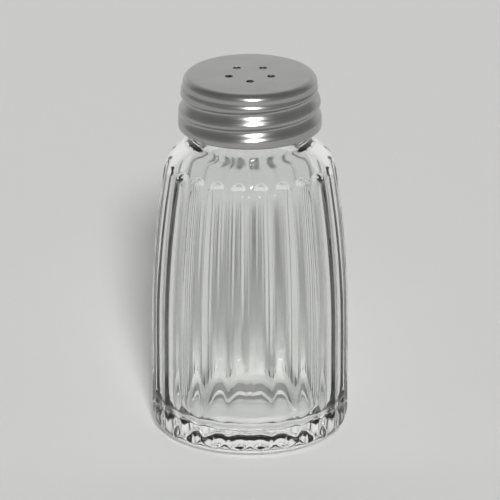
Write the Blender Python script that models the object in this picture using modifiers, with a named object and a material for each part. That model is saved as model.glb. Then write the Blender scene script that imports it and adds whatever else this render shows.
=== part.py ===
"""Pepper shaker: a fluted glass jar, a pressed steel screw cap and the sealing ring inside the cap.

Lengths are in metres. +Z is up, and the origin is the middle of the jar's foot, on the table.
The cap and its ring hang on an empty in the plane of the jar's lip, on the axis of the screw thread.
"""

import math

import bmesh
import bpy

MM = 0.001

# Glass jar
JAR_HEIGHT = 96.55 * MM  # table to lip
BODY_RADIUS = 26.0 * MM  # over the ridges, where the body is widest
WIDEST_HEIGHT = 29.5 * MM  # the side is straight below this level and draws in above it
SIDE_TAPER = 3.35 * MM  # how far the side has drawn in where the shoulder starts
SHOULDER_DROP = 7.35 * MM  # height of the round shoulder
SHOULDER_SLOPE = math.radians(35)  # fall of the shoulder where it leaves the neck
WALL = 3.0 * MM  # glass between a ridge and the hollow
BASE_THICKNESS = 6.0 * MM
HEEL_RADIUS = 5.0 * MM  # rounding between the side and the foot
FOOT_WIDTH = 4.0 * MM  # flat ring that stands on the table
PUSH_UP = 1.5 * MM  # hollow under the base, inside the foot
FLOOR_RADIUS = 6.0 * MM  # rounding between the wall and the floor of the hollow

# Flutes, scooped out of the body between upright ridges
FLUTE_COUNT = 24
FLUTE_DEPTH = 0.8 * MM

# Neck and thread
NECK_HEIGHT = 15.25 * MM
NECK_RADIUS = 16.0 * MM
NECK_FILLET = 2.0 * MM  # rounding between the neck and the shoulder
NECK_WALL = 3.0 * MM  # glass between the neck's outside and its bore
LIP_ROUNDING = 0.8 * MM
THREAD_PITCH = 4.5 * MM  # single start, right-hand
THREAD_TURNS = 1.5
THREAD_HEIGHT = 1.1 * MM  # how far the glass thread stands out from the neck
THREAD_BURIED = 0.35 * MM  # depth of the thread's centre line inside the neck
THREAD_DROP = 2.6 * MM  # lip to the upper end of the glass thread
THREAD_FADE = math.radians(50)  # turn over which the end of a thread fades away
THREAD_END = 0.1  # share of its thickness that a faded end keeps, inside the neck

# Fits
SEAT_GAP = 0.3 * MM  # between faces that rest on each other
THREAD_GAP = 0.55 * MM  # between the crest of the glass thread and the cap
ROLL_GAP = 0.8 * MM  # between the neck and the thread rolled into the cap
RING_GAP = 0.3 * MM  # round the sealing ring, inside and out

# Steel cap
CAP_HEIGHT = 14.4 * MM
CAP_SHEET = 0.45 * MM
CAP_CORNER = 2.0 * MM  # rounding of the edge of the flat top
CAP_STEP = 0.5 * MM  # the top is narrower than the wall by this
CAP_STEP_HEIGHT = 4.4 * MM  # top to the start of the wall
CAP_FLARE = 0.75 * MM  # how far the wall bellies out on its way down
CAP_BELLY = 0.85  # share of the wall's height above its widest level
HEM_RADIUS = 0.65 * MM  # the lower edge is folded inwards to a full round
HEM_HEIGHT = 1.9 * MM
ROLL_DROP = 1.75 * MM  # lip to the upper end of the rolled thread
ROLL_TURNS = 1.6
ROLL_ABOVE = 1.2 * MM  # the rolled groove is steep above its floor
ROLL_BELOW = 3.0 * MM  # and slopes out gently below it

# Sprinkling holes
HOLE_COUNT = 5
HOLE_RADIUS = 1.05 * MM
HOLE_CIRCLE = 5.8 * MM

# Sealing ring
RING_THICKNESS = 0.9 * MM

# Facets
FLUTE_STEPS = 4
JAR_STEPS = FLUTE_STEPS * FLUTE_COUNT
CAP_STEPS = 48
RING_STEPS = 48
THREAD_STEPS = 36  # for a whole turn
HOLE_STEPS = 12
ROLL_ROW = 0.55 * MM  # height of a row of facets on the cap's wall

# Curves
HANDLE = 0.5  # share of a curve's span that its handles reach

# Bore of the neck
BORE_RADIUS = NECK_RADIUS - NECK_WALL

# Levels on the jar, above the table
NECK_ROOT = JAR_HEIGHT - NECK_HEIGHT
SHOULDER_TOP = NECK_ROOT - NECK_FILLET * math.cos(SHOULDER_SLOPE)
SHOULDER_FOOT = SHOULDER_TOP - SHOULDER_DROP

# Levels on the cap and its ring, from the plane of the lip
RING_TOP = SEAT_GAP + RING_THICKNESS
CAP_UNDERSIDE = RING_TOP + SEAT_GAP
CAP_TOP = CAP_UNDERSIDE + CAP_SHEET
WALL_TOP = CAP_TOP - CAP_STEP_HEIGHT
CAP_FOOT = CAP_TOP - CAP_HEIGHT
ROLL_TOP = -ROLL_DROP
ROLL_FOOT = ROLL_TOP - ROLL_TURNS * THREAD_PITCH

# Radii of the cap
WALL_RADIUS = NECK_RADIUS + THREAD_HEIGHT + THREAD_GAP + CAP_SHEET
TOP_RADIUS = WALL_RADIUS - CAP_STEP
ROLL_RADIUS = NECK_RADIUS + ROLL_GAP + CAP_SHEET


def arc(centre, radius, start, end, count):
    """Points of a round stretch of a profile between two angles in degrees, ends included."""
    points = []
    for i in range(count + 1):
        angle = math.radians(start + (end - start) * i / count)
        points.append((centre[0] + radius * math.cos(angle), centre[1] + radius * math.sin(angle)))
    return points


def bezier(start, start_handle, end_handle, end, count):
    """Points of a curved stretch of a profile, ends included."""
    corners = (start, start_handle, end_handle, end)
    points = []
    for i in range(count + 1):
        t = i / count
        weights = ((1 - t) ** 3, 3 * t * (1 - t) ** 2, 3 * t * t * (1 - t), t**3)
        radius = sum(weight * corner[0] for weight, corner in zip(weights, corners))
        height = sum(weight * corner[1] for weight, corner in zip(weights, corners))
        points.append((radius, height))
    return points


def evaluated_mesh(source):
    """The finished mesh of a helper object, which is then removed."""
    bpy.context.scene.collection.objects.link(source)
    bpy.context.view_layer.update()
    graph = bpy.context.evaluated_depsgraph_get()
    mesh = bpy.data.meshes.new_from_object(source.evaluated_get(graph))
    bpy.data.objects.remove(source)
    return mesh


def turned(profile, steps, ring=False):
    """A mesh turned about Z from (radius, height) points that run down its outer side."""
    bm = bmesh.new()
    corners = [bm.verts.new((radius, 0, height)) for radius, height in profile]
    for first, second in zip(corners, corners[1:]):
        bm.edges.new((first, second))
    if ring:
        bm.edges.new((corners[-1], corners[0]))
    mesh = bpy.data.meshes.new("profile")
    bm.to_mesh(mesh)
    bm.free()
    lathe = bpy.data.objects.new("profile", mesh)
    screw = lathe.modifiers.new("turn", "SCREW")
    screw.axis = "Z"
    screw.steps = steps
    screw.render_steps = steps
    screw.use_merge_vertices = True
    screw.merge_threshold = 0.00001
    return evaluated_mesh(lathe)


def draw_in(vertex, depth):
    """Move a vertex towards the Z axis."""
    share = 1 - depth / math.hypot(vertex.co.x, vertex.co.y)
    vertex.co.x *= share
    vertex.co.y *= share


def principled(name, colour, roughness, metallic=0.0, transmission=0.0):
    material = bpy.data.materials.new(name)
    material.use_nodes = True
    shader = material.node_tree.nodes["Principled BSDF"]
    shader.inputs["Base Color"].default_value = (*colour, 1)
    shader.inputs["Roughness"].default_value = roughness
    shader.inputs["Metallic"].default_value = metallic
    shader.inputs["Transmission Weight"].default_value = transmission
    return material


def add_piece(name, mesh, collection, material, parent=None):
    """A named sub-part, shaded smooth between its sharp edges."""
    mesh.name = name
    mesh.materials.clear()
    mesh.materials.append(material)
    mesh.shade_smooth()
    mesh.set_sharp_from_angle(angle=math.radians(35))
    piece = bpy.data.objects.new(name, mesh)
    collection.objects.link(piece)
    piece.parent = parent
    return piece


def add_tool(name, mesh, collection, parent):
    """A shape that is only joined to a sub-part or cut from it."""
    tool = bpy.data.objects.new(name, mesh)
    collection.objects.link(tool)
    tool.parent = parent
    tool.hide_render = True
    tool.display_type = "WIRE"
    return tool


def side_radius(height):
    """Radius of the jar's side over its ridges. The curve goes on inside the shoulder."""
    share = max(0, height - WIDEST_HEIGHT) / (SHOULDER_FOOT - WIDEST_HEIGHT)
    return BODY_RADIUS - SIDE_TAPER * share**2


def side_lean():
    """How fast the side draws in where it meets the shoulder."""
    return 2 * SIDE_TAPER / (SHOULDER_FOOT - WIDEST_HEIGHT)


def jar_hollow():
    """Profile of the hollow, from the middle of its floor up to the lip."""
    wall_foot = BASE_THICKNESS + FLOOR_RADIUS
    wall_top = SHOULDER_FOOT - WALL / 2
    points = [(0, BASE_THICKNESS)]
    points += arc((side_radius(wall_foot) - WALL - FLOOR_RADIUS, wall_foot), FLOOR_RADIUS, -90, 0, 3)
    for share in (0.4, 0.7):
        height = wall_foot + share * (wall_top - wall_foot)
        points.append((side_radius(height) - WALL, height))
    reach = HANDLE * (SHOULDER_TOP - wall_top)
    wall_end = (side_radius(wall_top) - WALL, wall_top)
    points += bezier(
        wall_end,
        (wall_end[0] - reach * side_lean(), wall_top + reach),
        (BORE_RADIUS, SHOULDER_TOP - reach),
        (BORE_RADIUS, SHOULDER_TOP),
        4,
    )
    points += arc((BORE_RADIUS + LIP_ROUNDING, JAR_HEIGHT - LIP_ROUNDING), LIP_ROUNDING, 180, 90, 2)
    return points


def jar_outside():
    """Profile of the outside, from the lip down to the middle of the base."""
    points = arc((NECK_RADIUS - LIP_ROUNDING, JAR_HEIGHT - LIP_ROUNDING), LIP_ROUNDING, 90, 0, 2)
    fillet_end = 270 - math.degrees(SHOULDER_SLOPE)
    points += arc((NECK_RADIUS + NECK_FILLET, NECK_ROOT), NECK_FILLET, 180, fillet_end, 2)
    start = points[-1]
    end = (side_radius(SHOULDER_FOOT), SHOULDER_FOOT)
    reach = HANDLE * (end[0] - start[0])
    lift = HANDLE * SHOULDER_DROP
    points += bezier(
        start,
        (start[0] + reach, start[1] - reach * math.tan(SHOULDER_SLOPE)),
        (end[0] - lift * side_lean(), end[1] + lift),
        end,
        6,
    )[1:]
    for share in (0.3, 0.6, 1):
        height = SHOULDER_FOOT + share * (WIDEST_HEIGHT - SHOULDER_FOOT)
        points.append((side_radius(height), height))
    points += arc((BODY_RADIUS - HEEL_RADIUS, HEEL_RADIUS), HEEL_RADIUS, 0, -90, 4)
    foot_inside = BODY_RADIUS - HEEL_RADIUS - FOOT_WIDTH
    for share in (1, 0.6, 0):
        points.append((share * foot_inside, PUSH_UP * (1 - share**2)))
    return points


def flute_radius(angle, height):
    """Radius of the fluted column that the jar's body is cut to."""
    across = 2 * ((angle * FLUTE_COUNT / (2 * math.pi)) % 1) - 1
    return side_radius(height) - FLUTE_DEPTH * (1 - across**2)


def thread_angle(height):
    """Turn of the glass thread at a height from the plane of the lip."""
    return 2 * math.pi * height / THREAD_PITCH


def neck_thread():
    """A bead along a right-hand helix, whose ends thin out and sink into the neck."""
    radius = NECK_RADIUS - THREAD_BURIED
    count = round(THREAD_TURNS * THREAD_STEPS)
    curve = bpy.data.curves.new("helix", "CURVE")
    curve.dimensions = "3D"
    curve.bevel_depth = THREAD_HEIGHT + THREAD_BURIED
    curve.bevel_resolution = 1
    curve.use_fill_caps = True
    helix = curve.splines.new("POLY")
    helix.points.add(count)
    for i, point in enumerate(helix.points):
        height = -THREAD_DROP - THREAD_TURNS * THREAD_PITCH * (1 - i / count)
        angle = thread_angle(height)
        point.co = (radius * math.cos(angle), radius * math.sin(angle), height, 1)
        from_end = 2 * math.pi * THREAD_TURNS * min(i, count - i) / count
        point.radius = THREAD_END + (1 - THREAD_END) * min(1, from_end / THREAD_FADE)
    mesh = evaluated_mesh(bpy.data.objects.new("helix", curve))
    bm = bmesh.new()
    bm.from_mesh(mesh)
    bmesh.ops.remove_doubles(bm, verts=bm.verts, dist=0.000001)
    bmesh.ops.recalc_face_normals(bm, faces=bm.faces)
    bm.to_mesh(mesh)
    bm.free()
    return mesh


def add_jar(collection, tools, material, axis):
    """Pressed glass: one turned body, fluted outside, with a thread round its neck."""
    mesh = turned(jar_hollow() + jar_outside(), JAR_STEPS)
    for vertex in mesh.vertices:
        x, y, height = vertex.co
        depth = math.hypot(x, y) - flute_radius(math.atan2(y, x), height)
        if height < SHOULDER_TOP and depth > 0:
            draw_in(vertex, depth)
    jar = add_piece("glass_jar", mesh, collection, material)
    join = jar.modifiers.new("neck thread", "BOOLEAN")
    join.operation = "UNION"
    join.object = add_tool("neck_thread", neck_thread(), tools, axis)


def wall_radius(height):
    """Outside of the cap's bellied wall before the thread is rolled into it."""
    share = (WALL_TOP - height) / (WALL_TOP - CAP_FOOT)
    return WALL_RADIUS + CAP_FLARE * (1 - (share / CAP_BELLY - 1) ** 2)


def cap_profile():
    """Profile of the sheet, from the middle of the top down the outside and back up the inside."""
    corner_centre = (TOP_RADIUS - CAP_CORNER, CAP_TOP - CAP_CORNER)
    corner = arc(corner_centre, CAP_CORNER, 90, 0, 5)
    reach = HANDLE * (CAP_STEP_HEIGHT - CAP_CORNER)
    skin = bezier(
        corner[-1],
        (TOP_RADIUS, corner[-1][1] - reach),
        (WALL_RADIUS, WALL_TOP + reach),
        (WALL_RADIUS, WALL_TOP),
        round((CAP_STEP_HEIGHT - CAP_CORNER) / ROLL_ROW),
    )[1:]
    hem_top = CAP_FOOT + HEM_HEIGHT
    rows = round((WALL_TOP - hem_top) / ROLL_ROW)
    for row in range(1, rows + 1):
        height = WALL_TOP + (hem_top - WALL_TOP) * row / rows
        skin.append((wall_radius(height), height))

    hem_outside = wall_radius(CAP_FOOT + HEM_RADIUS)
    hem_inside = hem_outside - 2 * HEM_RADIUS
    hem = arc((hem_outside - HEM_RADIUS, CAP_FOOT + HEM_RADIUS), HEM_RADIUS, 0, -180, 4)
    hem.append((hem_inside, hem_top - HEM_RADIUS))

    lining = [(radius - CAP_SHEET, height) for radius, height in reversed(skin)]
    lining += arc(corner_centre, CAP_CORNER - CAP_SHEET, 0, 90, 4)
    return [(0, CAP_TOP)] + corner + skin + hem + lining + [(0, CAP_UNDERSIDE)]


def roll_depth(angle, height):
    """How far the rolled thread presses the wall in, half a pitch away from the glass thread."""
    turns_off = (thread_angle(height + THREAD_PITCH / 2) - angle) / (2 * math.pi)
    above = ROLL_ABOVE - (ROLL_ABOVE / THREAD_PITCH - turns_off) % 1 * THREAD_PITCH
    if above <= -ROLL_BELOW:
        return 0
    centre = height - above
    from_end = thread_angle(min(ROLL_TOP - centre, centre - ROLL_FOOT))
    fade = max(0, min(1, from_end / THREAD_FADE))
    across = above / ROLL_ABOVE if above > 0 else above / ROLL_BELOW
    trough = math.cos(math.pi / 2 * across) ** 2
    return ((wall_radius(height) + WALL_RADIUS) / 2 - ROLL_RADIUS) * trough * fade


def hole_punches():
    """A short rod for each sprinkling hole, through the flat top. The first hole is at the front."""
    bm = bmesh.new()
    for i in range(HOLE_COUNT):
        rod = bmesh.ops.create_cone(
            bm,
            cap_ends=True,
            segments=HOLE_STEPS,
            radius1=HOLE_RADIUS,
            radius2=HOLE_RADIUS,
            depth=3 * CAP_SHEET,
        )
        angle = 2 * math.pi * i / HOLE_COUNT - math.pi / 2
        place = (HOLE_CIRCLE * math.cos(angle), HOLE_CIRCLE * math.sin(angle), CAP_TOP - CAP_SHEET / 2)
        bmesh.ops.translate(bm, verts=rod["verts"], vec=place)
    mesh = bpy.data.meshes.new("hole_punches")
    bm.to_mesh(mesh)
    bm.free()
    return mesh


def add_cap(collection, tools, material, axis):
    """Stainless sheet: pressed, punched, hemmed, and the thread rolled into its wall."""
    mesh = turned(cap_profile(), CAP_STEPS)
    for vertex in mesh.vertices:
        x, y, height = vertex.co
        if height < CAP_TOP - CAP_CORNER:
            draw_in(vertex, roll_depth(math.atan2(y, x), height))
    cap = add_piece("screw_cap", mesh, collection, material, axis)
    punch = cap.modifiers.new("sprinkling holes", "BOOLEAN")
    punch.operation = "DIFFERENCE"
    punch.object = add_tool("hole_punches", hole_punches(), tools, axis)


def add_liner(collection, material, axis):
    """Soft washer between the jar's lip and the underside of the cap."""
    inside = BORE_RADIUS + RING_GAP
    outside = TOP_RADIUS - CAP_CORNER - RING_GAP
    section = [(inside, RING_TOP), (outside, RING_TOP), (outside, SEAT_GAP), (inside, SEAT_GAP)]
    add_piece("cap_liner", turned(section, RING_STEPS, ring=True), collection, material, axis)


def build():
    for leftover in list(bpy.data.objects):
        bpy.data.objects.remove(leftover)
    shaker = bpy.data.collections.new("pepper_shaker")
    tools = bpy.data.collections.new("shaping_tools")
    bpy.context.scene.collection.children.link(shaker)
    bpy.context.scene.collection.children.link(tools)

    axis = bpy.data.objects.new("cap_axis", None)
    axis.location.z = JAR_HEIGHT
    shaker.objects.link(axis)

    glass = principled("clear_glass", (0.93, 0.95, 0.95), 0.02, transmission=1.0)
    steel = principled("stainless_steel", (0.62, 0.62, 0.61), 0.25, metallic=1.0)
    plastic = principled("soft_plastic", (0.85, 0.85, 0.82), 0.5)

    add_jar(shaker, tools, glass, axis)
    add_liner(shaker, plastic, axis)
    add_cap(shaker, tools, steel, axis)


build()
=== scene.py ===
"""Pepper shaker: fluted glass jar, sealing ring on its lip and pierced steel cap screwed over both."""

import math

import bpy
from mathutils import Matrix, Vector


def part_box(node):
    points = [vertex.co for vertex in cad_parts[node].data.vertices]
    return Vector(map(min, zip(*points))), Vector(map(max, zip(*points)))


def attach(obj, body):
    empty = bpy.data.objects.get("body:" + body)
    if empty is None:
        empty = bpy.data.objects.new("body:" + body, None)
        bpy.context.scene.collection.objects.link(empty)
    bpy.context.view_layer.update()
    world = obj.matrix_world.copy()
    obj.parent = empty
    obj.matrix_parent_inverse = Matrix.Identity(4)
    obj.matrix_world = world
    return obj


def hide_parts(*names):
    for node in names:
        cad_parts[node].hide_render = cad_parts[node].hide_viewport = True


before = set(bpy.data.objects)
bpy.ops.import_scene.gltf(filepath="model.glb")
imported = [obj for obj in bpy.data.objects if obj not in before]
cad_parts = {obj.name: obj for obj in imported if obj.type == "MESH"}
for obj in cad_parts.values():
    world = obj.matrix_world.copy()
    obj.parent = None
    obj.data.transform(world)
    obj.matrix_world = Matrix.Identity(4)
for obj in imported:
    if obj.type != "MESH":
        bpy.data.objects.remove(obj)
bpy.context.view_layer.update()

# Glass jar
# A stout clear jar with 24 upright flutes, a round shoulder and a short neck with one coarse thread.
# It is soda-lime glass, pressed to a blank, blown out in a fluted mould and fire polished to soft edges.

MM = 0.001
jar_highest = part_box("glass_jar")[1]
LIP = jar_highest.z
BODY_RADIUS = jar_highest.x
WIDEST_HEIGHT = 29.5 * MM  # the side is straight below this level and draws in above it
SIDE_TAPER = 3.35 * MM  # how far it has drawn in at the foot of the shoulder
SHOULDER_DROP = 7.35 * MM
SHOULDER_SLOPE = math.radians(35)  # fall of the shoulder where it leaves the neck
WALL = 3.0 * MM
BASE_THICKNESS = 6.0 * MM
HEEL_RADIUS = 5.0 * MM
FOOT_WIDTH = 4.0 * MM
PUSH_UP = 1.5 * MM  # hollow under the base, so that the jar stands on a ring
FLOOR_RADIUS = 6.0 * MM  # of the round between the floor of the hollow and its wall
NECK_HEIGHT = 15.25 * MM
NECK_RADIUS = 16.0 * MM
NECK_FILLET = 2.0 * MM
BORE_RADIUS = NECK_RADIUS - WALL
LIP_ROUNDING = 0.8 * MM
NECK_ROOT = LIP - NECK_HEIGHT
SHOULDER_TOP = NECK_ROOT - NECK_FILLET * math.cos(SHOULDER_SLOPE)
SHOULDER_FOOT = SHOULDER_TOP - SHOULDER_DROP
SIDE_LEAN = 2 * SIDE_TAPER / (SHOULDER_FOOT - WIDEST_HEIGHT)
FLUTE_COUNT = 24
FLUTE_DEPTH = 0.8 * MM
RIDGE_SOFTNESS = 0.12  # share of half a flute over which fire polishing has rounded its ridges
ARCH_SOFTNESS = 0.1 * MM  # rounding of the edge where a flute runs out into the shoulder or the heel
THREAD_PITCH = 4.5 * MM
THREAD_TURNS = 1.5
THREAD_HEIGHT = 1.1 * MM
THREAD_HALF_WIDTH = 1.6 * MM
THREAD_ROUNDING = 1.5  # power of the cosine that shapes its section, soft at the foot and round on top
THREAD_DROP = 2.6 * MM  # from the lip down to where the thread starts
THREAD_FADE = math.radians(50)  # part of a turn over which it rises from the neck at each end
JAR_STEPS = 12 * FLUTE_COUNT
NECK_ROW = 0.25 * MM  # rows this close keep the thread round
FLOOR_ROWS = 4
WALL_ROWS = 20
SIDE_ROWS = 40
FOOT_ROWS = 8
MERGE_DISTANCE = 0.005 * MM


def arc(centre, radius, start, end, count):
    """Points of a round stretch of an outline between two angles in degrees."""
    angles = [math.radians(start + (end - start) * i / count) for i in range(count + 1)]
    return [(centre[0] + radius * math.cos(a), centre[1] + radius * math.sin(a)) for a in angles]


def sweep(start, start_handle, end_handle, end, count):
    """Points of a smooth stretch of an outline that leaves and arrives along its handles."""
    points = []
    for i in range(count + 1):
        t = i / count
        weights = ((1 - t) ** 3, 3 * t * (1 - t) ** 2, 3 * t * t * (1 - t), t**3)
        corners = (start, start_handle, end_handle, end)
        points.append(tuple(sum(w * c[axis] for w, c in zip(weights, corners)) for axis in (0, 1)))
    return points


def spun(name, outline, steps):
    """A piece whose outline is drawn from one vertex by extrusion and then spun round the Z axis."""
    bpy.ops.object.select_all(action="DESELECT")
    bpy.ops.mesh.primitive_plane_add(size=MM)
    piece = bpy.context.object
    piece.name = name
    piece.data.name = name
    bpy.ops.object.mode_set(mode="EDIT")
    bpy.ops.mesh.merge(type="CENTER")
    bpy.ops.transform.translate(value=(outline[0][0], 0, outline[0][1]))
    for before, after in zip(outline, outline[1:]):
        step = (after[0] - before[0], 0, after[1] - before[1])
        bpy.ops.mesh.extrude_region_move(TRANSFORM_OT_translate={"value": step})
    bpy.ops.mesh.select_all(action="SELECT")
    bpy.ops.mesh.spin(steps=steps, angle=2 * math.pi, center=(0, 0, 0), axis=(0, 0, 1))
    bpy.ops.mesh.select_all(action="SELECT")
    bpy.ops.mesh.remove_doubles(threshold=MERGE_DISTANCE)
    bpy.ops.mesh.normals_make_consistent(inside=False)
    bpy.ops.object.mode_set(mode="OBJECT")
    bpy.ops.object.shade_smooth()
    return piece


def side_radius(height):
    """Radius of the jar's side over its ridges."""
    share = max(0, height - WIDEST_HEIGHT) / (SHOULDER_FOOT - WIDEST_HEIGHT)
    return BODY_RADIUS - SIDE_TAPER * share**2


def flute_radius(angle, height):
    """Radius of the fluted column that the body is pressed to, with its ridges rounded."""
    across = 2 * ((angle * FLUTE_COUNT / (2 * math.pi)) % 1) - 1
    from_ridge = math.hypot(1 - abs(across), RIDGE_SOFTNESS) - RIDGE_SOFTNESS
    return side_radius(height) - FLUTE_DEPTH * (1 - (1 - from_ridge) ** 2)


def thread_stand(angle, height):
    """How far the thread stands out from the neck, at a height from the plane of the lip."""
    turns_off = height / THREAD_PITCH - angle / (2 * math.pi)
    off_centre = (turns_off - round(turns_off)) * THREAD_PITCH
    centre = height - off_centre
    upper_end = -THREAD_DROP
    lower_end = upper_end - THREAD_TURNS * THREAD_PITCH
    from_end = 2 * math.pi * min(upper_end - centre, centre - lower_end) / THREAD_PITCH
    fade = max(0, min(1, from_end / THREAD_FADE))
    across = min(1, abs(off_centre) / THREAD_HALF_WIDTH)
    return THREAD_HEIGHT * math.sin(math.pi / 2 * fade) * math.cos(math.pi / 2 * across) ** THREAD_ROUNDING


def set_radius(vertex, radius):
    """Move a vertex to another distance from the Z axis."""
    share = radius / math.hypot(vertex.co.x, vertex.co.y)
    vertex.co.x *= share
    vertex.co.y *= share


wall_foot = BASE_THICKNESS + FLOOR_RADIUS
wall_top = SHOULDER_FOOT - WALL / 2
floor_edge = side_radius(wall_foot) - WALL - FLOOR_RADIUS
jar_outline = [(floor_edge * i / FLOOR_ROWS, BASE_THICKNESS) for i in range(FLOOR_ROWS)]
jar_outline += arc((floor_edge, wall_foot), FLOOR_RADIUS, -90, 0, count=10)
for i in range(1, WALL_ROWS):
    height = wall_foot + (wall_top - wall_foot) * i / WALL_ROWS
    jar_outline.append((side_radius(height) - WALL, height))
wall_end = (side_radius(wall_top) - WALL, wall_top)
rise = (SHOULDER_TOP - wall_top) / 2
jar_outline += sweep(
    wall_end,
    (wall_end[0] - rise * SIDE_LEAN, wall_top + rise),
    (BORE_RADIUS, SHOULDER_TOP - rise),
    (BORE_RADIUS, SHOULDER_TOP),
    count=16,
)
jar_outline += arc((BORE_RADIUS + LIP_ROUNDING, LIP - LIP_ROUNDING), LIP_ROUNDING, 180, 90, count=6)
jar_outline += arc((NECK_RADIUS - LIP_ROUNDING, LIP - LIP_ROUNDING), LIP_ROUNDING, 90, 0, count=6)
neck_rows = round((NECK_HEIGHT - LIP_ROUNDING) / NECK_ROW)
for i in range(1, neck_rows):
    jar_outline.append((NECK_RADIUS, LIP - LIP_ROUNDING - (NECK_HEIGHT - LIP_ROUNDING) * i / neck_rows))
fillet_end = 270 - math.degrees(SHOULDER_SLOPE)
jar_outline += arc((NECK_RADIUS + NECK_FILLET, NECK_ROOT), NECK_FILLET, 180, fillet_end, count=8)
shoulder_start = jar_outline[-1]
shoulder_end = (side_radius(SHOULDER_FOOT), SHOULDER_FOOT)
reach = (shoulder_end[0] - shoulder_start[0]) / 2
jar_outline += sweep(
    shoulder_start,
    (shoulder_start[0] + reach, shoulder_start[1] - reach * math.tan(SHOULDER_SLOPE)),
    (shoulder_end[0] - SHOULDER_DROP / 2 * SIDE_LEAN, shoulder_end[1] + SHOULDER_DROP / 2),
    shoulder_end,
    count=64,
)[1:]
for i in range(1, SIDE_ROWS):
    height = SHOULDER_FOOT + (HEEL_RADIUS - SHOULDER_FOOT) * i / SIDE_ROWS
    jar_outline.append((side_radius(height), height))
jar_outline += arc((BODY_RADIUS - HEEL_RADIUS, HEEL_RADIUS), HEEL_RADIUS, 0, -90, count=28)
foot_inside = BODY_RADIUS - HEEL_RADIUS - FOOT_WIDTH
for i in range(FOOT_ROWS + 1):
    share = 1 - i / FOOT_ROWS
    jar_outline.append((share * foot_inside, PUSH_UP * (1 - share**2)))

jar = spun("fluted_jar", jar_outline, JAR_STEPS)
for vertex in jar.data.vertices:
    x, y, height = vertex.co
    radius = math.hypot(x, y)
    angle = math.atan2(y, x)
    if height < SHOULDER_TOP:
        column = flute_radius(angle, height)
        blend = max(0, 1 - abs(radius - column) / ARCH_SOFTNESS)
        if radius > column or blend > 0:
            set_radius(vertex, min(radius, column) - ARCH_SOFTNESS / 4 * blend**2)
    elif NECK_ROOT < height < LIP - LIP_ROUNDING and radius > BORE_RADIUS + WALL / 2:
        set_radius(vertex, radius + thread_stand(angle, height - LIP))


def linear(hex_colour):
    """A colour written as sRGB hex, as the linear colour that shaders take."""
    shares = [int(hex_colour[i : i + 2], 16) / 255 for i in (1, 3, 5)]
    return (*(s / 12.92 if s <= 0.04045 else ((s + 0.055) / 1.055) ** 2.4 for s in shares), 1)


def add_node(material, kind, inputs=None, **settings):
    """Adds a node with its settings. An input is a plain value, or the (node, output) that feeds it."""
    made = material.node_tree.nodes.new(kind)
    for name, value in settings.items():
        setattr(made, name, value)
    for name, value in (inputs or {}).items():
        if isinstance(value, tuple) and isinstance(value[0], bpy.types.Node):
            material.node_tree.links.new(value[0].outputs[value[1]], made.inputs[name])
        else:
            made.inputs[name].default_value = value
    return made


def bare_material(name):
    """A material with an empty node tree."""
    material = bpy.data.materials.new(name)
    material.use_nodes = True
    material.node_tree.nodes.clear()
    return material


# Soda-lime glass is clear with a trace of green. The chilled mould leaves long faint ripples in it
# that bend what is seen through it, while fire polishing keeps the surface itself bright.
# A lamp shines through it on the table, least where the wall stands edge on.
RIPPLE_LENGTH = 9 * MM
RIPPLE_HEIGHT = 0.03 * MM
SHINE_THROUGH = 0.74  # share of a lamp's light that passes one face square on
SHINE_AT_EDGE = 0.2
GLASS_TINT = "#FBFCFB"
glass = bare_material("soda_lime_glass_fire_polished")
place = add_node(glass, "ShaderNodeTexCoord")
ripple = add_node(
    glass,
    "ShaderNodeTexNoise",
    {"Vector": (place, "Object"), "Scale": 1 / RIPPLE_LENGTH, "Detail": 1.0, "Roughness": 0.4},
)
surface = add_node(
    glass, "ShaderNodeBump", {"Height": (ripple, "Fac"), "Strength": 1.0, "Distance": RIPPLE_HEIGHT}
)
shader = add_node(
    glass,
    "ShaderNodeBsdfPrincipled",
    {
        "Base Color": linear(GLASS_TINT),
        "Roughness": 0.0,
        "IOR": 1.52,
        "Transmission Weight": 1.0,
        "Normal": (surface, "Normal"),
    },
)
slant = add_node(glass, "ShaderNodeLayerWeight", {"Blend": 0.5})
passed = add_node(
    glass,
    "ShaderNodeMapRange",
    {"Value": (slant, "Facing"), "To Min": SHINE_THROUGH, "To Max": SHINE_AT_EDGE},
)
open_to_lamps = add_node(glass, "ShaderNodeBsdfTransparent", {"Color": (passed, "Result")})
light_path = add_node(glass, "ShaderNodeLightPath")
clear_wall = add_node(
    glass,
    "ShaderNodeMixShader",
    {"Fac": (light_path, "Is Shadow Ray"), 1: (shader, "BSDF"), 2: (open_to_lamps, "BSDF")},
)
add_node(glass, "ShaderNodeOutputMaterial", {"Surface": (clear_wall, "Shader")})
jar.data.materials.append(glass)
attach(jar, "jar")
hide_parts("glass_jar")

# Sealing ring
# A flat washer that lies inside the cap and is squeezed on the jar's lip when the cap is tight.
# It is die-cut from soft white polyethylene sheet, so its edges are only slightly rounded.

ring_lowest, ring_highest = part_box("cap_liner")
RING_GAP = 0.3 * MM  # its hole stands back this far from the bore of the neck
RING_ROUNDING = 0.2 * MM
RING_STEPS = 160
ring_inside = BORE_RADIUS + RING_GAP
ring_outside = ring_highest.x
ring_outline = []
for edge, level, start in (
    (ring_outside, ring_highest.z, 90),
    (ring_outside, ring_lowest.z, 0),
    (ring_inside, ring_lowest.z, -90),
    (ring_inside, ring_highest.z, -180),
):
    inward = math.copysign(RING_ROUNDING, ring_outside + ring_inside - 2 * edge)
    upward = math.copysign(RING_ROUNDING, ring_highest.z + ring_lowest.z - 2 * level)
    ring_outline += arc((edge + inward, level + upward), RING_ROUNDING, start, start - 90, count=4)
ring_outline.append(ring_outline[0])
ring = spun("sealing_ring", ring_outline, RING_STEPS)

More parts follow.
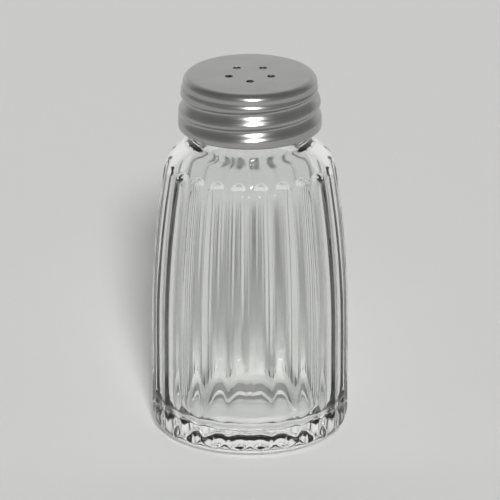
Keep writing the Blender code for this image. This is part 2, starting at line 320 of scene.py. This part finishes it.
# Polyethylene sheet is a waxy, slightly cloudy white with a fine matt grain from the rolls it was made on.
GRAIN = 0.35 * MM
GRAIN_HEIGHT = 0.01 * MM
GRAIN_ROUGHNESS = (0.4, 0.58)  # in the hollows and on the crests of the grain
CLOUD = 5 * MM
CLEAR_WHITE = "#E9E7E0"
CLOUDY_WHITE = "#DAD8CF"
polyethylene = bare_material("polyethylene_sheet_die_cut")
place = add_node(polyethylene, "ShaderNodeTexCoord")
cloud = add_node(polyethylene, "ShaderNodeTexNoise", {"Vector": (place, "Object"), "Scale": 1 / CLOUD})
tone = add_node(
    polyethylene,
    "ShaderNodeMix",
    {"Factor": (cloud, "Fac"), "A": linear(CLEAR_WHITE), "B": linear(CLOUDY_WHITE)},
    data_type="RGBA",
)
grain = add_node(polyethylene, "ShaderNodeTexNoise", {"Vector": (place, "Object"), "Scale": 1 / GRAIN})
gloss = add_node(
    polyethylene,
    "ShaderNodeMapRange",
    {"Value": (grain, "Fac"), "To Min": GRAIN_ROUGHNESS[0], "To Max": GRAIN_ROUGHNESS[1]},
)
surface = add_node(
    polyethylene, "ShaderNodeBump", {"Height": (grain, "Fac"), "Strength": 1.0, "Distance": GRAIN_HEIGHT}
)
shader = add_node(
    polyethylene,
    "ShaderNodeBsdfPrincipled",
    {
        "Base Color": (tone, "Result"),
        "Roughness": (gloss, "Result"),
        "IOR": 1.51,
        "Normal": (surface, "Normal"),
    },
)
add_node(polyethylene, "ShaderNodeOutputMaterial", {"Surface": (shader, "BSDF")})
ring.data.materials.append(polyethylene)
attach(ring, "liner")
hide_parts("cap_liner")

# Screw cap
# A cap drawn from thin stainless sheet, flat on top, with five punched holes and its lower edge folded in.
# Rollers pressed the thread into the wall from outside, which leaves round bands climbing round the cap.

CAP_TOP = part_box("screw_cap")[1].z
CAP_HEIGHT = 14.4 * MM
CAP_SHEET = 0.45 * MM
CAP_CORNER = 2.0 * MM
CAP_STEP = 0.5 * MM  # the wall stands out this far from the rim of the top
CAP_STEP_HEIGHT = 4.4 * MM
CAP_FLARE = 0.75 * MM
CAP_BELLY = 0.85  # share of the way down the wall at which it is widest
HEM_RADIUS = 0.65 * MM
HEM_HEIGHT = 1.9 * MM
THREAD_GAP = 0.55 * MM  # room between the thread on the glass and the wall
ROLL_GAP = 0.8 * MM  # room between the neck and the floor of the rolled groove
ROLL_DROP = 1.75 * MM  # from the lip down to where the groove starts
ROLL_TURNS = 1.6
ROLL_ABOVE = 1.2 * MM  # the groove is steep above its floor and slopes out gently below it
ROLL_BELOW = 3.0 * MM
HOLE_COUNT = 5
HOLE_RADIUS = 1.05 * MM
HOLE_CIRCLE = 5.8 * MM
HOLE_EDGE = 0.05 * MM  # the punch draws the edge of a hole down to a small round
HOLE_EDGE_START = 80  # degrees, so that the round starts just under the top and the cut is clean
HOLE_STEPS = 40
CAP_STEPS = 192
WALL_ROW = 0.2 * MM
SHARP_FROM = math.radians(35)  # faces that meet at more than this keep a sharp edge
WALL_RADIUS = NECK_RADIUS + THREAD_HEIGHT + THREAD_GAP + CAP_SHEET
TOP_RADIUS = WALL_RADIUS - CAP_STEP
ROLL_RADIUS = NECK_RADIUS + ROLL_GAP + CAP_SHEET
WALL_TOP = CAP_TOP - CAP_STEP_HEIGHT
CAP_FOOT = CAP_TOP - CAP_HEIGHT
HEM_TOP = CAP_FOOT + HEM_HEIGHT


def wall_radius(height):
    """Outside of the bellied wall before the thread is rolled into it."""
    share = (WALL_TOP - height) / (WALL_TOP - CAP_FOOT)
    return WALL_RADIUS + CAP_FLARE * (1 - (share / CAP_BELLY - 1) ** 2)


def roll_depth(angle, height):
    """How far the rollers pressed the wall in, half a pitch away from the thread on the glass."""
    turns_off = (height - LIP) / THREAD_PITCH + 0.5 - angle / (2 * math.pi)
    above = ROLL_ABOVE - (ROLL_ABOVE / THREAD_PITCH - turns_off) % 1 * THREAD_PITCH
    if above <= -ROLL_BELOW:
        return 0
    centre = height - above
    upper_end = LIP - ROLL_DROP
    lower_end = upper_end - ROLL_TURNS * THREAD_PITCH
    from_end = 2 * math.pi * min(upper_end - centre, centre - lower_end) / THREAD_PITCH
    fade = math.sin(math.pi / 2 * max(0, min(1, from_end / THREAD_FADE)))
    across = above / ROLL_ABOVE if above > 0 else above / ROLL_BELOW
    trough = math.cos(math.pi / 2 * across) ** 2
    return ((wall_radius(height) + WALL_RADIUS) / 2 - ROLL_RADIUS) * trough * fade


corner_centre = (TOP_RADIUS - CAP_CORNER, CAP_TOP - CAP_CORNER)
corner = arc(corner_centre, CAP_CORNER, 90, 0, count=10)
reach = (CAP_STEP_HEIGHT - CAP_CORNER) / 2
skin = sweep(
    corner[-1],
    (TOP_RADIUS, corner[-1][1] - reach),
    (WALL_RADIUS, WALL_TOP + reach),
    (WALL_RADIUS, WALL_TOP),
    count=14,
)[1:]
wall_rows = round((WALL_TOP - HEM_TOP) / WALL_ROW)
for i in range(1, wall_rows + 1):
    height = WALL_TOP + (HEM_TOP - WALL_TOP) * i / wall_rows
    skin.append((wall_radius(height), height))
hem_outside = wall_radius(CAP_FOOT + HEM_RADIUS)
hem = arc((hem_outside - HEM_RADIUS, CAP_FOOT + HEM_RADIUS), HEM_RADIUS, 0, -180, count=14)
hem.append((hem_outside - 2 * HEM_RADIUS, HEM_TOP - HEM_RADIUS))
lining = [(radius - CAP_SHEET, height) for radius, height in reversed(skin)]
lining += arc(corner_centre, CAP_CORNER - CAP_SHEET, 0, 90, count=6)
cap_outline = [(0, CAP_TOP)] + corner + skin + hem + lining + [(0, CAP_TOP - CAP_SHEET)]
cap = spun("pierced_cap", cap_outline, CAP_STEPS)
for vertex in cap.data.vertices:
    x, y, height = vertex.co
    if height < CAP_TOP - CAP_CORNER:
        set_radius(vertex, math.hypot(x, y) - roll_depth(math.atan2(y, x), height))

punch_outline = [(0, CAP_TOP + CAP_SHEET), (HOLE_RADIUS + HOLE_EDGE, CAP_TOP + CAP_SHEET)]
hole_edge_centre = (HOLE_RADIUS + HOLE_EDGE, CAP_TOP - HOLE_EDGE)
punch_outline += arc(hole_edge_centre, HOLE_EDGE, HOLE_EDGE_START, 180, count=6)
punch_outline += [(HOLE_RADIUS, CAP_TOP - 2 * CAP_SHEET), (0, CAP_TOP - 2 * CAP_SHEET)]
punches = spun("punches", punch_outline, HOLE_STEPS)
bpy.ops.object.mode_set(mode="EDIT")
bpy.ops.mesh.select_all(action="SELECT")
bpy.ops.transform.translate(value=(0, -HOLE_CIRCLE, 0))
bpy.ops.mesh.spin(
    steps=HOLE_COUNT - 1,
    dupli=True,
    angle=2 * math.pi * (HOLE_COUNT - 1) / HOLE_COUNT,
    center=(0, 0, 0),
    axis=(0, 0, 1),
)
bpy.ops.object.mode_set(mode="OBJECT")
bpy.ops.object.select_all(action="DESELECT")
cap.select_set(True)
bpy.context.view_layer.objects.active = cap
punched = cap.modifiers.new("punched holes", "BOOLEAN")
punched.operation = "DIFFERENCE"
punched.object = punches
bpy.ops.object.modifier_apply(modifier=punched.name)
bpy.data.objects.remove(punches)
bpy.ops.object.shade_smooth_by_angle(angle=SHARP_FROM)

# Stainless sheet reflects grey and soft. The flat top keeps the straight grain of the rolled sheet,
# and the rollers that pressed the wall have drawn fine lines round it, brighter than the top.
GRAIN_WIDTH = 0.25 * MM  # real grain is near 0.05 mm, drawn coarser so that it shows
GRAIN_LENGTH = 18 * MM
GRAIN_DEPTH = 0.003 * MM
WAVER_LENGTH = 8 * MM  # thin sheet never comes out of the rollers quite true
WAVER_HEIGHT = 0.1 * MM
GRAIN_SPAN = (0.3, 0.7)  # the range that nearly all of the grain lies in
WALL_ROUGHNESS = (0.15, 0.25)  # in the hollows and on the crests of the grain
TOP_ROUGHER = 0.15  # the top was never under the rollers, so it stays duller than the wall
TOP_FACING = (0.6, 0.95)  # upward share of the normal from which a face is partly, and wholly, top
SMUDGE = 7 * MM
STEEL_CLEAN = "#B4B4B2"
STEEL_SMUDGED = "#A9A9A7"
steel = bare_material("stainless_sheet_drawn_and_rolled")
place = add_node(steel, "ShaderNodeTexCoord")
along_top = add_node(
    steel,
    "ShaderNodeMapping",
    {"Vector": (place, "Object"), "Scale": (1 / GRAIN_LENGTH, 1 / GRAIN_WIDTH, 1 / GRAIN_LENGTH)},
)
round_wall = add_node(
    steel,
    "ShaderNodeMapping",
    {"Vector": (place, "Object"), "Scale": (1 / GRAIN_LENGTH, 1 / GRAIN_LENGTH, 1 / GRAIN_WIDTH)},
)
top_grain = add_node(steel, "ShaderNodeTexNoise", {"Vector": (along_top, "Vector"), "Scale": 1.0})
wall_grain = add_node(steel, "ShaderNodeTexNoise", {"Vector": (round_wall, "Vector"), "Scale": 1.0})
facing = add_node(steel, "ShaderNodeNewGeometry")
facing_parts = add_node(steel, "ShaderNodeSeparateXYZ", {"Vector": (facing, "Normal")})
flat = add_node(
    steel,
    "ShaderNodeMapRange",
    {"Value": (facing_parts, "Z"), "From Min": TOP_FACING[0], "From Max": TOP_FACING[1]},
)
grain = add_node(
    steel,
    "ShaderNodeMix",
    {"Factor": (flat, "Result"), "A": (wall_grain, "Fac"), "B": (top_grain, "Fac")},
)
wall_gloss = add_node(
    steel,
    "ShaderNodeMapRange",
    {
        "Value": (grain, "Result"),
        "From Min": GRAIN_SPAN[0],
        "From Max": GRAIN_SPAN[1],
        "To Min": WALL_ROUGHNESS[0],
        "To Max": WALL_ROUGHNESS[1],
    },
)
gloss = add_node(
    steel,
    "ShaderNodeMath",
    {0: (flat, "Result"), 1: TOP_ROUGHER, 2: (wall_gloss, "Result")},
    operation="MULTIPLY_ADD",
)
smudge = add_node(steel, "ShaderNodeTexNoise", {"Vector": (place, "Object"), "Scale": 1 / SMUDGE})
tone = add_node(
    steel,
    "ShaderNodeMix",
    {"Factor": (smudge, "Fac"), "A": linear(STEEL_CLEAN), "B": linear(STEEL_SMUDGED)},
    data_type="RGBA",
)
waver = add_node(
    steel, "ShaderNodeTexNoise", {"Vector": (place, "Object"), "Scale": 1 / WAVER_LENGTH, "Detail": 1.0}
)
uneven = add_node(
    steel, "ShaderNodeBump", {"Height": (waver, "Fac"), "Strength": 1.0, "Distance": WAVER_HEIGHT}
)
surface = add_node(
    steel,
    "ShaderNodeBump",
    {
        "Height": (grain, "Result"),
        "Strength": 1.0,
        "Distance": GRAIN_DEPTH,
        "Normal": (uneven, "Normal"),
    },
)
shader = add_node(
    steel,
    "ShaderNodeBsdfPrincipled",
    {
        "Base Color": (tone, "Result"),
        "Metallic": 1.0,
        "Roughness": (gloss, "Value"),
        "Normal": (surface, "Normal"),
    },
)
add_node(steel, "ShaderNodeOutputMaterial", {"Surface": (shader, "BSDF")})
cap.data.materials.append(steel)
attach(cap, "cap")
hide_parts("screw_cap")

# Floor, light and camera
# A wide pale table top in a plain grey studio that is pale at the back. One soft lamp stands a little
# higher than the camera, which looks down on the shaker with a long lens from well back.

TABLE_RADIUS = 6.0
TABLE_STEPS = 96
TABLE_DROP = 0.05 * MM  # keeps the table top from sharing a face with the jar's foot
TABLE_GREY = "#CDCDCB"
bpy.ops.object.select_all(action="DESELECT")
bpy.ops.mesh.primitive_circle_add(
    vertices=TABLE_STEPS, radius=TABLE_RADIUS, fill_type="NGON", location=(0, 0, 0)
)
floor = bpy.context.object
floor.name = "table_top"
bpy.ops.object.mode_set(mode="EDIT")
bpy.ops.mesh.select_all(action="SELECT")
bpy.ops.transform.translate(value=(0, 0, -TABLE_DROP))
bpy.ops.object.mode_set(mode="OBJECT")
laminate = bare_material("table_laminate_matt")
shader = add_node(
    laminate,
    "ShaderNodeBsdfPrincipled",
    {"Base Color": linear(TABLE_GREY), "Roughness": 0.8, "Specular IOR Level": 0.15},
)
add_node(laminate, "ShaderNodeOutputMaterial", {"Surface": (shader, "BSDF")})
floor.data.materials.append(laminate)

STUDIO_LOW = "#A0A0A0"
STUDIO_HIGH = "#787878"
STUDIO_BACK = "#E6E6E6"
DARKEST_FROM = 0.8  # sine of the angle above the table from which the studio is darkest
BACK_SIDE = (0.45, 0.9)  # share of a direction that points back where the pale side starts, and is full
studio = bpy.data.worlds.new("studio")
studio.use_nodes = True
studio.node_tree.nodes.clear()
direction = add_node(studio, "ShaderNodeTexCoord")
direction_parts = add_node(studio, "ShaderNodeSeparateXYZ", {"Vector": (direction, "Generated")})
height_share = add_node(
    studio, "ShaderNodeMapRange", {"Value": (direction_parts, "Z"), "From Max": DARKEST_FROM}
)
grey = add_node(
    studio,
    "ShaderNodeMix",
    {"Factor": (height_share, "Result"), "A": linear(STUDIO_LOW), "B": linear(STUDIO_HIGH)},
    data_type="RGBA",
)
back_share = add_node(
    studio,
    "ShaderNodeMapRange",
    {"Value": (direction_parts, "Y"), "From Min": BACK_SIDE[0], "From Max": BACK_SIDE[1]},
)
studio_tone = add_node(
    studio,
    "ShaderNodeMix",
    {"Factor": (back_share, "Result"), "A": (grey, "Result"), "B": linear(STUDIO_BACK)},
    data_type="RGBA",
)
light = add_node(studio, "ShaderNodeBackground", {"Color": (studio_tone, "Result"), "Strength": 1.0})
add_node(studio, "ShaderNodeOutputWorld", {"Surface": (light, "Background")})
bpy.context.scene.world = studio

VIEW_HEIGHT = math.radians(21)  # the camera's angle above the table
CAMERA_DISTANCE = 1.6
FRAME_WIDTH = 132 * MM
SENSOR_WIDTH = 36  # in the millimetres that the camera itself takes
LAMP_TURN = math.radians(5)  # a little to the right of the camera
LAMP_HEIGHT = math.radians(32)
LAMP_SPREAD = math.radians(8.8)  # how wide the lamp looks from the shaker, which softens its shadow
LAMP_POWER = 4.0  # in watts for a square metre that faces it


def from_middle(turn, height_angle, distance):
    """A place round the shaker's middle. A turn of 0 is the front."""
    flat_distance = distance * math.cos(height_angle)
    return (
        flat_distance * math.sin(turn),
        -flat_distance * math.cos(turn),
        CAP_TOP / 2 + distance * math.sin(height_angle),
    )


bpy.ops.object.light_add(
    type="SUN",
    location=from_middle(LAMP_TURN, LAMP_HEIGHT, CAMERA_DISTANCE),
    rotation=(math.pi / 2 - LAMP_HEIGHT, 0, LAMP_TURN),
)
lamp = bpy.context.object
lamp.name = "studio_lamp"
lamp.data.angle = LAMP_SPREAD
lamp.data.energy = LAMP_POWER

bpy.ops.object.camera_add(
    location=from_middle(0, VIEW_HEIGHT, CAMERA_DISTANCE), rotation=(math.pi / 2 - VIEW_HEIGHT, 0, 0)
)
camera = bpy.context.object
camera.data.sensor_width = SENSOR_WIDTH
camera.data.lens = SENSOR_WIDTH * CAMERA_DISTANCE / FRAME_WIDTH
camera.data.clip_end = 4 * TABLE_RADIUS
bpy.context.scene.camera = camera
bpy.context.scene.view_settings.view_transform = "Standard"
